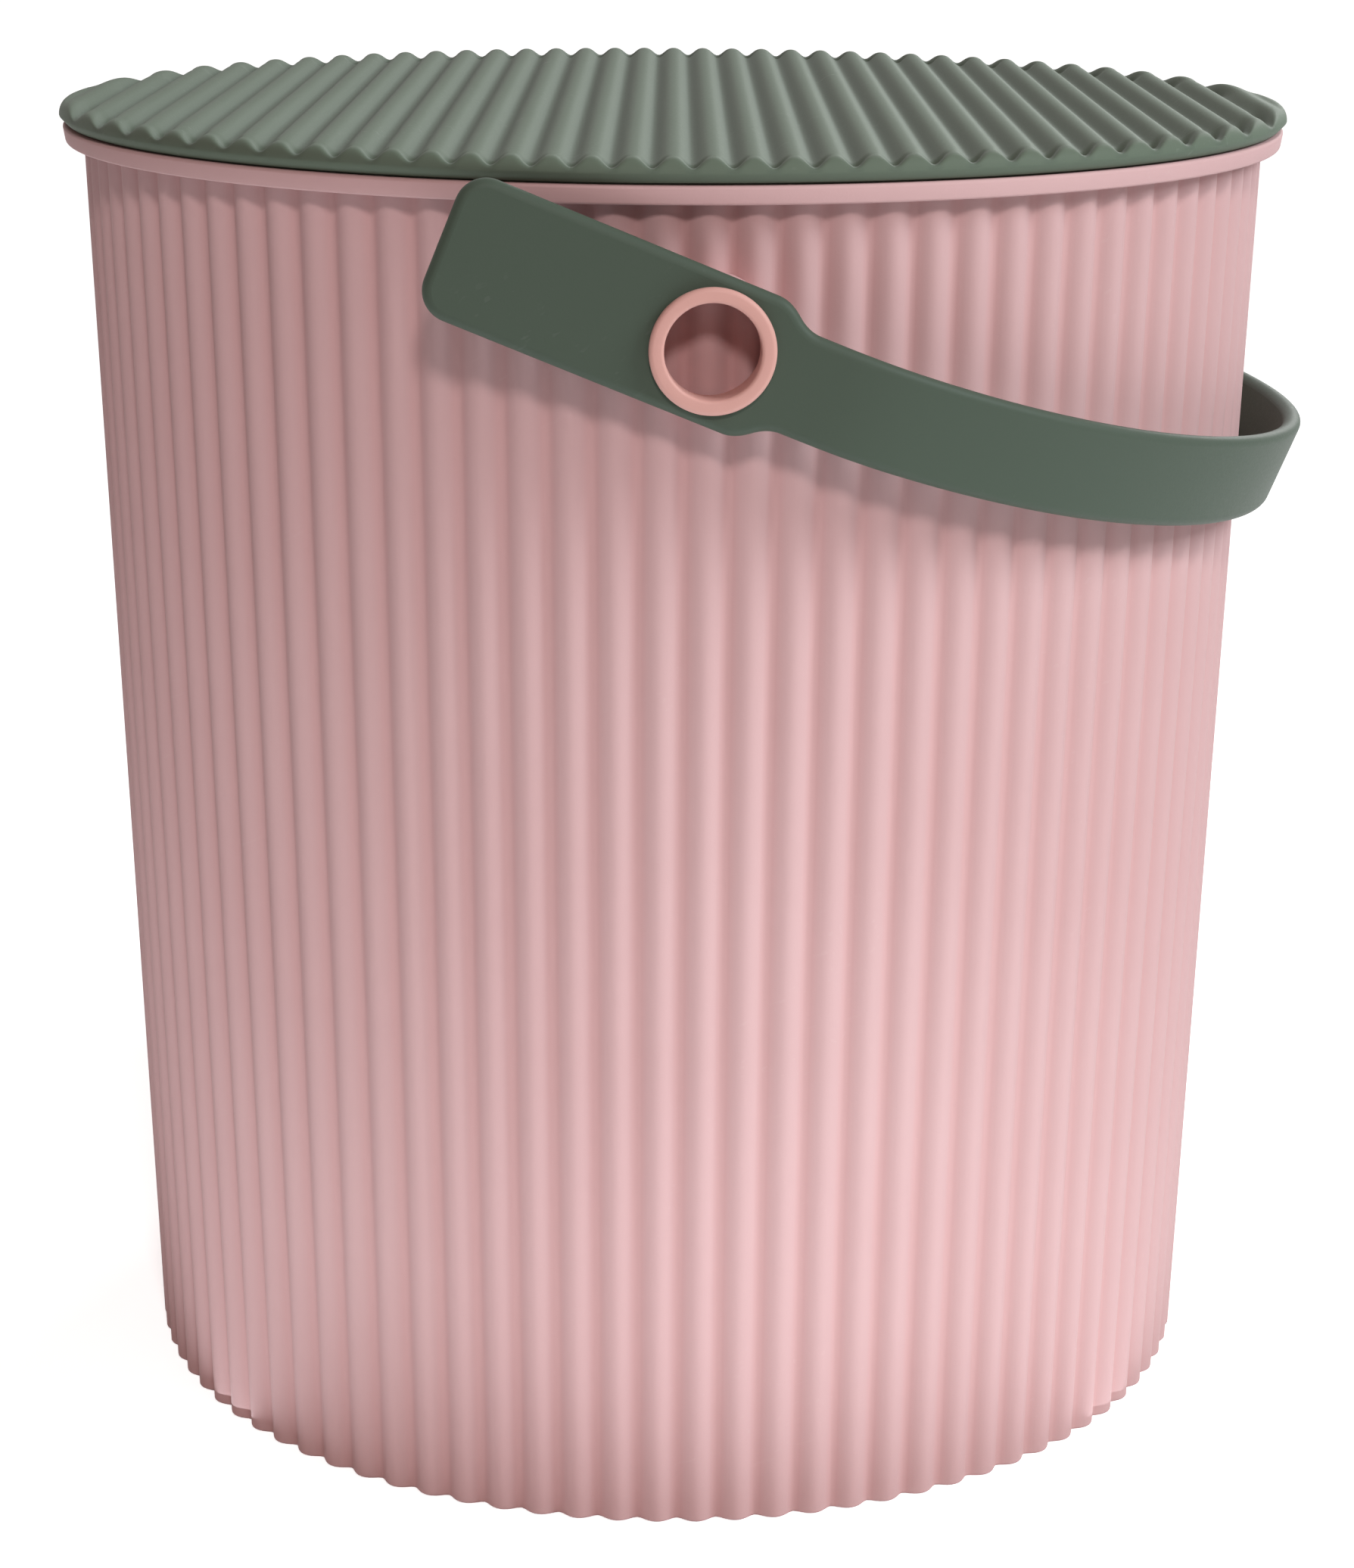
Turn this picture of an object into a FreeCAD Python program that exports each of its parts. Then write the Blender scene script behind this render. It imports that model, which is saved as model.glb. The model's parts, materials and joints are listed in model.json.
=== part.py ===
"""Lidded plastic bucket: a ribbed tub, a corrugated lid and a swinging band handle on two pivot rings.

The origin is the centre of the underside, +Z is up, and the handle's hinge line runs along Y.
All sizes are millimetres and degrees.
"""
import FreeCAD, Part
import math
import os

from FreeCAD import Placement, Rotation, Vector

DRIVING_SIZES = {
    # tub
    "tub_height": (329.0, "floor to the top of the rim"),
    "base_radius": (142.3, "rib crests at the floor"),
    "mouth_radius": (151.1, "rib crests under the rim"),
    "rib_count": (90, "ribs round the tub"),
    "rib_strips": (3, "flat strips that make up one rib: a flat crest and two sides"),
    "rib_depth": (2.4, "crest to valley of a rib, under the rim"),
    "tub_wall": (2.0, "wall of the tub, measured radially"),
    "floor_thickness": (2.6, "floor of the tub"),
    "rim_reach": (5.2, "rim outside the rib crests"),
    "rim_flange": (2.2, "thickness of the rim's top"),
    "rim_drop": (2.05, "rim's turned-down lip below its top"),
    "rim_lip": (2.0, "thickness of the lip"),
    "rim_bevel": (0.6, "bevel of the rim's upper edge"),
    # pivots
    "pivot_drop": (34.6, "hinge line below the top of the rim"),
    "ring_hole_radius": (10.65, "open middle of the pivot ring"),
    "sleeve_wall": (1.85, "wall of the pivot ring's sleeve"),
    "flange_lip": (1.5, "pivot ring's flange outside its sleeve"),
    "flange_thickness": (2.2, "flange of the pivot ring"),
    "flange_bevel": (0.7, "bevel of the flange's outer edge"),
    "collar_wall": (2.85, "wall of the collar on the tub behind each arm"),
    "press_gap": (0.05, "sleeve in the collar, radial"),
    "running_gap": (0.08, "handle's eye on the sleeve, radial"),
    "side_gap": (0.25, "arm to collar and arm to flange"),
    "sleeve_gap": (0.6, "end of the sleeve to the rib crests"),
    # handle
    "arm_gap": (2.0, "arms outside the lid"),
    "bow_gap": (1.0, "bow outside the lid's corner as it swings over"),
    "rest_gap": (3.78, "bow outside the rib crests at rest"),
    "band_thickness": (4.4, "thickness of the band"),
    "bend_radius": (60.0, "bend from each arm into the bow"),
    "tail_length": (63.5, "hinge line to the tail's end"),
    "tail_corner": (7.0, "corners of the tail"),
    "eye_margin": (3.72, "band left above and below the eye"),
    "shoulder_start": (9.0, "hinge line to the start of the shoulder"),
    "shoulder_length": (12.0, "length of the shoulder"),
    "shoulder_step": (4.8, "how far each edge steps in at the shoulder"),
    "bow_rise": (15.3, "lift of the bow out of the line of the arms"),
    # lid
    "lid_overhang": (0.7, "lid's edge outside the rim"),
    "lid_drop": (2.4, "foot of the edge on the rim up to its widest part"),
    "lid_round": (3.8, "rounding from the widest part up to the ridge tops"),
    "edge_strips": (2, "strips that make up the lid's rounding"),
    "lid_undercut": (1.3, "how far the edge draws in below its widest part"),
    "ridge_pitch": (8.83, "ridge to ridge"),
    "ridge_depth": (2.6, "ridge top to valley"),
    "ridge_share": (0.55, "part of the pitch above half depth"),
    "ridge_strips": (4, "flat strips that make up one rounded ridge"),
    "lid_wall": (2.0, "wall of the lid under the ridges"),
    "skirt_depth": (8.0, "locating skirt below the rim's top"),
    "skirt_wall": (1.8, "wall of the locating skirt"),
    "skirt_gap": (1.0, "skirt inside the tub's mouth"),
    "lid_turn": (3.1, "ridges turned from the hinge line's direction"),
}

FITS = {
    "pivot_level": "Sizes.tub_height - Sizes.pivot_drop",
    "rim_outside": "Sizes.mouth_radius + Sizes.rim_reach",
    "mouth_inside": "Sizes.mouth_radius - Sizes.rib_depth - Sizes.tub_wall",
    "lid_outside": "Fits.rim_outside + Sizes.lid_overhang",
    "lid_top": "Sizes.tub_height + Sizes.lid_drop + Sizes.lid_round",
    "skirt_outside": "Fits.mouth_inside - Sizes.skirt_gap",
    "sleeve_radius": "Sizes.ring_hole_radius + Sizes.sleeve_wall",
    "flange_radius": "Fits.sleeve_radius + Sizes.flange_lip",
    "collar_bore": "Fits.sleeve_radius + Sizes.press_gap",
    "collar_radius": "Fits.collar_bore + Sizes.collar_wall",
    "eye_radius": "Fits.sleeve_radius + Sizes.running_gap",
    "arm_inside": "Fits.lid_outside + Sizes.arm_gap",
    "arm_outside": "Fits.arm_inside + Sizes.band_thickness",
    "tail_half": "Fits.eye_radius + Sizes.eye_margin",
    "bow_half": "Fits.tail_half - Sizes.shoulder_step",
    "bow_inside": "max(hypot(Fits.lid_outside; Fits.lid_top - Fits.pivot_level); Fits.arm_inside)"
                  " + Sizes.bow_gap",
    "bow_outside": "Fits.bow_inside + Sizes.band_thickness",
    "wall_taper": "(Sizes.mouth_radius - Sizes.base_radius) / (Sizes.tub_height - Sizes.rim_flange)",
    "wall_at_pivot": "Sizes.base_radius + Fits.wall_taper * Fits.pivot_level",
    "collar_root": "Fits.wall_at_pivot - Sizes.rib_depth - Sizes.tub_wall",
}

AXIS = Vector(0, 0, 1)
HALF = 0.5  # half a strip, which puts a flat strip on each crest

doc = FreeCAD.newDocument("lidded_bucket")
sheet = doc.addObject("Spreadsheet::Sheet", "Sizes")
for row, (alias, (value, meaning)) in enumerate(DRIVING_SIZES.items(), start=1):
    sheet.set(f"A{row}", meaning)
    sheet.set(f"B{row}", str(value))
    sheet.setAlias(f"B{row}", alias)
doc.recompute()

fits = doc.addObject("App::VarSet", "Fits")
for fit, expression in FITS.items():
    fits.addProperty("App::PropertyFloat", fit)
    fits.setExpression(fit, expression)
doc.recompute()


def size(name):
    """The value of one driving size, or of one fit that follows from them."""
    return float(getattr(fits, name) if name in FITS else sheet.get(name))


def bind(item, **expressions):
    """Ties properties of an object to the sizes; a double underscore stands for a dot."""
    for path, expression in expressions.items():
        item.setExpression(path.replace("__", "."), expression)
    return item


def outline(name, edges):
    """A closed wire made of edges, kept as an object of the document."""
    feature = doc.addObject("Part::Feature", name)
    feature.Shape = Part.Wire(Part.__sortEdges__(edges))
    return feature


def closed(points):
    """A closed wire of straight edges through points in order."""
    return Part.makePolygon(points + points[:1])


def polygon(name, points):
    """A closed wire of straight edges, kept as an object of the document."""
    feature = doc.addObject("Part::Feature", name)
    feature.Shape = closed(points)
    return feature


def level_circle(point):
    """The level circle about the Z axis through a point."""
    return Part.Wire(Part.makeCircle(point.x, Vector(0, 0, point.z), AXIS))


def flat_face(*wires):
    """A flat face inside the first wire and outside the others."""
    return Part.makeFace(Part.makeCompound(list(wires)), "Part::FaceMakerBullseye")


def combine(kind, name, *items):
    """A boolean of two or more objects of the document."""
    result = doc.addObject(kind, name)
    if kind == "Part::MultiFuse":
        result.Shapes = list(items)
    else:
        result.Base, result.Tool = items
    return result


def revolve(name, profile):
    """A solid turned from a profile in the XZ plane about the Z axis."""
    solid = doc.addObject("Part::Revolution", name)
    solid.Source = profile
    solid.Axis = AXIS
    solid.Angle = 360
    solid.Solid = True
    return solid


def extrude(name, profile, direction, length):
    """A solid drawn from a profile, half of its length to each side."""
    solid = doc.addObject("Part::Extrusion", name)
    solid.Base = profile
    solid.DirMode = "Custom"
    solid.Dir = direction
    solid.Symmetric = True
    solid.Solid = True
    return bind(solid, LengthFwd=length)


def upright(name, radius, bottom, height):
    """A cylinder about the Z axis."""
    return bind(doc.addObject("Part::Cylinder", name),
                Radius=radius, Height=height, Placement__Base__z=bottom)


def line(start, end):
    """A straight edge."""
    return Part.LineSegment(start, end).toShape()


def arc(start, middle, end):
    """An edge along the arc through three points."""
    return Part.Arc(start, middle, end).toShape()


def arc_about(centre, radius, first, last, place):
    """An edge along the arc between two angles in degrees, on the plane that place maps to."""
    across, along = centre
    turns = [math.radians(angle) for angle in (first, (first + last) / 2, last)]
    return arc(*(place(across + radius * math.cos(t), along + radius * math.sin(t)) for t in turns))


def in_section(radius, level):
    """A point of a profile that is turned about the Z axis."""
    return Vector(radius, 0, level)


def wave(turn, strips):
    """Share of a rounded rib's depth: none along its flat crest, all in the valley half a turn on."""
    crest = math.cos(math.pi / strips)
    valley = -crest if strips % 2 == 0 else -1
    return (crest - math.cos(2 * math.pi * turn)) / (crest - valley)


# Ribbed tub wall: flat strips between rings of the same outline, one larger than the other.

def crest_radius(level):
    """Radius of the rib crests at a height, on the straight taper from floor to rim."""
    return size("base_radius") + size("wall_taper") * level


def ribbed_ring(inset, level):
    """Points of the ribs in plan, set in from the outer crests: a wave with a crest on the hinge line."""
    strips = round(size("rib_strips"))
    steps = round(size("rib_count")) * strips
    crest, depth = crest_radius(level) - inset, size("rib_depth") / size("mouth_radius")

    def at(step):
        radius = crest * (1 - depth * wave(step / strips, strips))
        angle = 2 * math.pi * step / steps - math.pi / 2
        return Vector(radius * math.cos(angle), radius * math.sin(angle), level)

    return [at(step + HALF) for step in range(steps)]


def ribbed_band(low, high):
    """Flat upright strips between two ribbed rings."""
    quads = zip(low, low[1:] + low[:1], high[1:] + high[:1], high)
    return [flat_face(closed(list(quad))) for quad in quads]


def sewn_solid(name, faces):
    """One closed solid sewn from the faces round it."""
    shell = Part.Shell(faces)
    shell.sewShape()
    feature = doc.addObject("Part::Feature", name)
    feature.Shape = Part.makeSolid(shell)
    return feature


def ribbed_shell():
    """The open tub: ribbed outside and inside, floor, and a flat rim with a lip turned down."""
    top, outer, bevel = size("tub_height"), size("rim_outside"), size("rim_bevel")
    under, wall = top - size("rim_flange"), size("tub_wall")
    low, lip = under - size("rim_drop"), outer - size("rim_lip")
    outside = ribbed_ring(0, 0), ribbed_ring(0, under)
    inside = ribbed_ring(wall, size("floor_thickness")), ribbed_ring(wall, top)
    rim = [in_section(lip, under), in_section(lip, low), in_section(outer, low),
           in_section(outer, top - bevel), in_section(outer - bevel, top)]
    lip_faces = Part.makePolygon(rim).revolve(Vector(), AXIS, 360).Faces
    return sewn_solid("ribbed_shell", [
        *ribbed_band(*outside), *ribbed_band(*inside), *lip_faces,
        flat_face(closed(outside[0])), flat_face(closed(inside[0])),
        flat_face(level_circle(rim[0]), closed(outside[1])),
        flat_face(level_circle(rim[-1]), closed(inside[1])),
    ])


def collar_seat():
    """A ribbed solid that reaches half way into the wall, against which the collars end."""
    half = size("tub_wall") / 2
    low, high = ribbed_ring(half, size("floor_thickness")), ribbed_ring(half, size("tub_height"))
    return sewn_solid("collar_seat", [*ribbed_band(low, high), flat_face(closed(low)),
                                      flat_face(closed(high))])


def collar(side, seat):
    """The collar that stands out of the ribbed wall to the arm, open so that the ribs show inside."""
    solid = doc.addObject("Part::Cylinder", f"{side}_collar_solid")
    opening = doc.addObject("Part::Cylinder", f"{side}_collar_opening")
    bind(solid, Radius="Fits.collar_radius")
    bind(opening, Radius="Fits.collar_bore")
    sign = -1 if side == "front" else 1
    for item in (solid, opening):
        item.Placement = Placement(Vector(), Rotation(Vector(1, 0, 0), -90 * sign))
        bind(item, Height="Fits.arm_inside - Sizes.side_gap - Fits.collar_root",
             Placement__Base__y=f"{sign} * Fits.collar_root", Placement__Base__z="Fits.pivot_level")
    tube = combine("Part::Cut", f"{side}_collar_tube", solid, opening)
    return combine("Part::Cut", f"{side}_collar", tube, seat)


def make_tub():
    """The ribbed shell with its two pivot collars."""
    seat = collar_seat()
    return combine("Part::MultiFuse", "tub", ribbed_shell(), collar("front", seat), collar("back", seat))


# Pivot rings: a sleeve that the handle turns on, pressed into the collar, under a rounded flange.

def ring_profile():
    """The pivot ring in section, with its axis along Z and its flange outermost."""
    hole, sleeve, flange = size("ring_hole_radius"), size("sleeve_radius"), size("flange_radius")
    bevel = size("flange_bevel")
    under = size("arm_outside") + size("side_gap")
    face = under + size("flange_thickness")
    end = crest_radius(size("pivot_level") + sleeve) + size("sleeve_gap")
    return polygon("ring_profile", [
        in_section(hole, end), in_section(hole, face), in_section(flange - bevel, face),
        in_section(flange, face - bevel), in_section(flange, under), in_section(sleeve, under),
        in_section(sleeve, end),
    ])


def make_ring(side, profile):
    """One pivot ring, laid along the hinge line."""
    ring = revolve(f"{side}_pivot_ring", profile)
    ring.Placement = Placement(Vector(), Rotation(Vector(1, 0, 0), 90 if side == "front" else -90))
    return bind(ring, Placement__Base__z="Fits.pivot_level")


# Handle: a U-shaped band seen from above, trimmed by the outline that it has seen from the side.

def rest_tilt():
    """Degrees below the horizontal at which the bow's lower edge lies beside the ribs."""
    edge, taper = size("bow_rise") - size("bow_half"), size("wall_taper")
    level, drop = size("bow_inside") - taper * edge, edge + taper * size("bow_inside")
    stop = size("wall_at_pivot") + size("rest_gap")
    return math.degrees(math.atan2(drop, level) + math.acos(stop / math.hypot(level, drop)))


def band_path(offset):
    """Edges of the U at an offset outside its inner face, from the tail at -Y round to the other."""
    arm, bow, bend = size("arm_inside"), size("bow_inside"), size("bend_radius")
    turn_in = math.sqrt((bow - bend) ** 2 - (arm - bend) ** 2)
    meet = math.degrees(math.atan2(arm - bend, turn_in))
    tail = -size("tail_length") - size("tail_corner")

    def flat(along, across):
        return Vector(along, across, 0)

    return [
        line(flat(tail, -arm - offset), flat(turn_in, -arm - offset)),
        arc_about((turn_in, bend - arm), bend + offset, -90, -meet, flat),
        arc_about((0, 0), bow + offset, -meet, meet, flat),
        arc_about((turn_in, arm - bend), bend + offset, meet, 90, flat),
        line(flat(turn_in, arm + offset), flat(tail, arm + offset)),
    ]


def band_plan():
    """The band from above: its inner and outer path closed across the two tails."""
    inner, outer = band_path(0), band_path(size("band_thickness"))
    tails = [line(near.Vertexes[end].Point, far.Vertexes[end].Point)
             for near, far, end in ((inner[0], outer[0], 0), (inner[-1], outer[-1], 1))]
    return outline("band_plan", inner + outer + tails)


def band_side():
    """The band from the side: a broad rounded tail, S-shaped shoulders and a gently rising bow."""
    tail, wide, narrow = size("tail_length"), size("tail_half"), size("bow_half")
    corner, start, half = size("tail_corner"), size("shoulder_start"), size("shoulder_length") / 2
    end, rise = start + 2 * half, size("bow_rise")
    run = size("bow_outside") - end
    sweep = (run ** 2 + rise ** 2) / (2 * rise)
    turn = math.degrees(math.asin((run + size("band_thickness")) / sweep))

    def side(along, up):
        return Vector(along, 0, up)

    def shoulder(sign):
        """Two equal arcs that step the edge in from the tail's width to the bow's."""
        step = (wide - narrow) / 2
        radius = (half ** 2 + step ** 2) / (2 * step)
        lean = math.degrees(math.asin(half / radius))
        high, low = sign * (wide - radius), sign * (narrow + radius)
        return [arc_about((start, high), radius, sign * 90, sign * (90 - lean), side),
                arc_about((end, low), radius, sign * (-90 - lean), sign * -90, side)]

    bow = [arc_about((end, sweep), sweep + sign * narrow, -90, turn - 90, side) for sign in (-1, 1)]
    return outline("band_side", [
        line(side(-tail, corner - wide), side(-tail, wide - corner)),
        arc_about((corner - tail, wide - corner), corner, 180, 90, side),
        line(side(corner - tail, wide), side(start, wide)),
        *shoulder(1),
        *bow,
        line(bow[0].Vertexes[1].Point, bow[1].Vertexes[1].Point),
        *shoulder(-1),
        line(side(start, -wide), side(corner - tail, -wide)),
        arc_about((corner - tail, corner - wide), corner, -90, -180, side),
    ])


def make_handle():
    """The band with an eye in each arm, lowered to its rest beside the tub."""
    plan = extrude("band_from_above", band_plan(), AXIS,
                   "4 * (Fits.tail_half + Sizes.bow_rise)")
    side = extrude("band_from_side", band_side(), Vector(0, 1, 0), "3 * Fits.arm_outside")
    band = combine("Part::Common", "band", plan, side)
    eyes = doc.addObject("Part::Cylinder", "eyes")
    eyes.Placement = Placement(Vector(), Rotation(Vector(1, 0, 0), -90))
    bind(eyes, Radius="Fits.eye_radius", Height="4 * Fits.arm_outside",
         Placement__Base__y="-2 * Fits.arm_outside")
    handle = combine("Part::Cut", "handle", band, eyes)
    handle.Placement = Placement(Vector(), Rotation(Vector(0, 1, 0), rest_tilt()))
    return bind(handle, Placement__Base__z="Fits.pivot_level")


# Lid: a corrugated plate cut to a round edge, hollow below, with a locating skirt.

def corrugation(name, top):
    """A block down to the skirt's foot whose top is straight parallel ridges, one over the axis."""
    pitch, depth = size("ridge_pitch"), size("ridge_depth")
    broaden, strips = (size("ridge_share") - 0.5) / 2, round(size("ridge_strips"))
    steps = strips * math.ceil(size("lid_outside") / pitch + 1)

    def at(step):
        turn = step / strips
        across = turn + broaden * math.sin(2 * math.pi * turn)
        return in_section(pitch * across, top - depth * wave(turn, strips))

    ridges = [at(step + HALF) for step in range(-steps, steps)]
    foot = size("tub_height") - size("skirt_depth")
    feet = [in_section(end.x, foot) for end in (ridges[-1], ridges[0])]
    return extrude(name, polygon(f"{name}_profile", ridges + feet), Vector(0, 1, 0),
                   "3 * Fits.lid_outside")


def lid_profile():
    """The lid's envelope in section: rounded over the top edge and drawn in below to its seat on the rim."""
    rim, outer, top, soft = size("tub_height"), size("lid_outside"), size("lid_top"), size("lid_round")
    strips = round(size("edge_strips"))

    def rounded(step):
        turn = math.pi / 2 * step / strips
        return in_section(outer - soft + soft * math.sin(turn), top - soft + soft * math.cos(turn))

    return polygon("lid_profile", [
        in_section(0, rim), in_section(0, top), *(rounded(step) for step in range(strips + 1)),
        in_section(outer - size("lid_undercut"), rim),
    ])


def make_lid():
    """The corrugated plate with its rounded edge, its hollow underside and its skirt."""
    top = size("lid_top")
    plate = combine("Part::Common", "lid_plate",
                    corrugation("lid_ridges", top), revolve("lid_envelope", lid_profile()))
    foot = "Sizes.tub_height - Sizes.skirt_depth"
    skirt = upright("skirt", "Fits.skirt_outside", foot, "Sizes.skirt_depth + Sizes.lid_drop")
    bore = upright("skirt_inside", "Fits.skirt_outside - Sizes.skirt_wall", f"{foot} - Sizes.skirt_wall",
                   "Fits.lid_top - Sizes.tub_height + Sizes.skirt_depth + Sizes.skirt_wall")
    hollow = combine("Part::Common", "lid_hollow",
                     corrugation("lid_under_ridges", top - size("lid_wall")), bore)
    blank = combine("Part::MultiFuse", "lid_blank", plate, skirt)
    lid = combine("Part::Cut", "lid", blank, hollow)
    return bind(lid, Placement__Rotation__Angle="-Sizes.lid_turn")


tub = make_tub()
profile = ring_profile()
SUB_PARTS = [tub, make_ring("front", profile), make_ring("back", profile), make_handle(), make_lid()]
doc.recompute()

for item in doc.Objects:
    if {"Invalid", "Error"} & set(item.State):
        raise RuntimeError(f"{item.Name} did not recompute: {item.State}")
for item in SUB_PARTS:
    if item.Shape.isNull() or not item.Shape.isValid() or len(item.Shape.Solids) != 1:
        raise RuntimeError(f"{item.Label} is not one valid solid")

os.makedirs("parts", exist_ok=True)
for item in SUB_PARTS:
    item.Shape.exportStep(f"parts/{item.Label}.step")
    print(item.Label, f"{item.Shape.Volume / 1000:.1f} cm3")
print(f"handle at rest {rest_tilt():.2f} degrees below the horizontal")
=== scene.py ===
"""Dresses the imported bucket: a ribbed pink tub, a corrugated lid and a band handle on pivot rings.

Lengths are metres in the part's own frame: the floor at Z = 0, +Z up, the handle's hinge line along Y
with the front at -Y, and the handle's bow resting at +X.
"""
import json
import logging
import math
from dataclasses import dataclass, field
from enum import Enum
from typing import Any, Mapping, Sequence

import bpy
import numpy as np
from mathutils import Matrix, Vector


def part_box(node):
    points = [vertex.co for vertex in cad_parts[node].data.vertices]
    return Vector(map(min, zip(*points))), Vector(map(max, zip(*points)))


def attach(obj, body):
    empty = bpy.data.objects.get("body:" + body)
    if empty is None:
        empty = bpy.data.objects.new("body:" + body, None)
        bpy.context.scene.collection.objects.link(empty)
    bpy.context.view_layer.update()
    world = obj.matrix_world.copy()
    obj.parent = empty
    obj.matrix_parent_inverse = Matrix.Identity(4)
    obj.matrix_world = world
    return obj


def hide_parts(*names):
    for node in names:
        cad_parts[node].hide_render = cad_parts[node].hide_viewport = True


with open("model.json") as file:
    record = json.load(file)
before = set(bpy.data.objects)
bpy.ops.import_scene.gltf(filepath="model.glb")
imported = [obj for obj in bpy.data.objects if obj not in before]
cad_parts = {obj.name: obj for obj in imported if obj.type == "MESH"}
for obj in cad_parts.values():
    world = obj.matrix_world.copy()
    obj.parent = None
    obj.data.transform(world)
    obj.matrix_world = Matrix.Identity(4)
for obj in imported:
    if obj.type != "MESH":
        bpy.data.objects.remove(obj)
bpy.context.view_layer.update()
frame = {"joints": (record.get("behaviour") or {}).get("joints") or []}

MM = 1e-3
CREASE = math.radians(50)
PHOTO_WIDTH, PHOTO_HEIGHT = 1789, 2072
LOG = logging.getLogger("bucket")
Triple = tuple[float, float, float]


class Body(Enum):
    """The bodies that move on their own."""

    TUB = "tub"
    HANDLE = "handle"
    LID = "lid"


class Slot(Enum):
    """The record's material slots."""

    TUB = "tub_plastic"
    RING = "ring_plastic"
    HANDLE = "handle_plastic"
    LID = "lid_plastic"


class Side(Enum):
    """The two ends of the hinge line, by the sign of their Y."""

    FRONT = -1
    BACK = 1


# Surfaces as whole arrays

@dataclass
class Surface:
    """A closed surface in the making."""

    points: np.ndarray  # coordinates, one row per point
    faces: list[np.ndarray]  # index arrays, each of triangles or of quads
    marks: dict[str, np.ndarray] = field(default_factory=dict)  # point values for the finishes, by name

    def triangles(self) -> np.ndarray:
        """Every face as triangles, a quad split along one diagonal."""
        return np.concatenate([part if part.shape[1] == 3 else part[:, [0, 1, 2, 0, 2, 3]].reshape(-1, 3)
                               for part in self.faces])

    def turn_outward(self) -> None:
        """Turns the faces outwards, told by the sign of the volume inside."""
        a, b, c = (self.points[corner] for corner in self.triangles().T)
        if np.einsum("ij,ij->i", a, np.cross(b, c)).sum() < 0:
            self.faces = [part[:, ::-1] for part in self.faces]


def corner_arc(spot: np.ndarray, before: np.ndarray, after: np.ndarray, radius: float,
               steps: int) -> np.ndarray:
    """The arc that rounds a corner.

    The corner is cut back along both of its sides by radius / tan(half its angle), and the arc is
    tangent to them there.

    Args:
        spot: the corner.
        before: the corner before it.
        after: the corner after it.
        radius: of the arc, or zero for a sharp corner.
        steps: points on the arc.

    Returns:
        The points of the arc, or the sharp corner alone.
    """
    if radius == 0:
        return spot[None]
    back, ahead = ((end - spot) / np.linalg.norm(end - spot) for end in (before, after))
    half = math.acos(float(np.clip(back @ ahead, -1, 1))) / 2
    middle = spot + (back + ahead) / np.linalg.norm(back + ahead) * radius / math.sin(half)
    first, last = (spot + way * radius / math.tan(half) - middle for way in (back, ahead))
    turn = math.pi - 2 * half
    share = np.linspace(0, 1, steps)[:, None]
    return middle + (first * np.sin((1 - share) * turn) + last * np.sin(share * turn)) / math.sin(turn)


def rounded_outline(corners: Sequence[Triple], steps: int = 5,
                    longest: float = 30 * MM) -> tuple[np.ndarray, np.ndarray]:
    """An open outline whose inner corners are arcs and whose long straight stretches are divided.

    Args:
        corners: across, up and rounding radius of each corner, with no radius at both ends.
        steps: points on each arc.
        longest: longest straight stretch left undivided.

    Returns:
        The points of the outline, and for each the corner number that it belongs to or lies between.
    """
    spots = np.array([corner[:2] for corner in corners])
    befores, afters = np.roll(spots, 1, axis=0), np.roll(spots, -1, axis=0)
    runs: list[np.ndarray] = []
    owners: list[np.ndarray] = []
    for number, (_, _, radius) in enumerate(corners):
        arc = corner_arc(spots[number], befores[number], afters[number], radius, steps)
        if runs:
            start, end = runs[-1][-1], arc[0]
            pieces = math.ceil(np.linalg.norm(end - start) / longest)
            share = np.arange(1, pieces)[:, None] / pieces
            runs.append(start + share * (end - start))
            owners.append(number - 1 + share[:, 0])
        runs.append(arc)
        owners.append(np.full(len(arc), float(number)))
    return np.concatenate(runs), np.concatenate(owners)


def quads(table: np.ndarray) -> np.ndarray:
    """Quads between the neighbouring rows and columns of a table of point numbers."""
    corners = [table[:-1, :-1], table[:-1, 1:], table[1:, 1:], table[1:, :-1]]
    return np.stack(corners, axis=-1).reshape(-1, 4)


def wrapped_quads(rows: int, columns: int, ring: bool = False) -> np.ndarray:
    """Quads of a grid stored row by row whose last column meets its first.

    Args:
        rows: rows of the grid.
        columns: columns of the grid.
        ring: whether its last row meets its first too.

    Returns:
        The quads, one row each.
    """
    table = np.arange(rows * columns).reshape(rows, columns)
    table = np.concatenate([table, table[:, :1]], axis=1)
    return quads(np.concatenate([table, table[:1]]) if ring else table)


def fan(pole: int, ring: np.ndarray) -> np.ndarray:
    """Triangles between a pole and a closed ring of points."""
    return np.stack([np.full(len(ring), pole), ring, np.roll(ring, -1)], axis=-1)


def rounded_wave(turn: np.ndarray, share: float, rounds: int = 6) -> np.ndarray:
    """A wave from 0 on its crests to 1 in its valleys, with a cosine's round form.

    The cosine is read at a place that is drawn towards the crests, so that they are broader than the
    valleys.

    Args:
        turn: place along the wave, counted in waves from a crest.
        share: part of a wave that is nearer to the crest's height than to the valley's.
        rounds: how often the drawn place is worked out anew, until it settles.

    Returns:
        The depth at each place.
    """
    broaden, place = (share - 0.5) / 2, turn
    for _ in range(rounds):
        place = turn - broaden * np.sin(2 * math.pi * place)
    return (1 - np.cos(2 * math.pi * place)) / 2


def turned(points: np.ndarray, angle: float, axis: str, about: Sequence[float] = (0, 0, 0)) -> np.ndarray:
    """Points turned about an axis through a place, as a rotation matrix turns them.

    Args:
        points: coordinates, one row per point.
        angle: radians.
        axis: X, Y or Z.
        about: a place on the axis.

    Returns:
        The turned coordinates.
    """
    return (points - about) @ np.array(Matrix.Rotation(angle, 3, axis)).T + about


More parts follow.
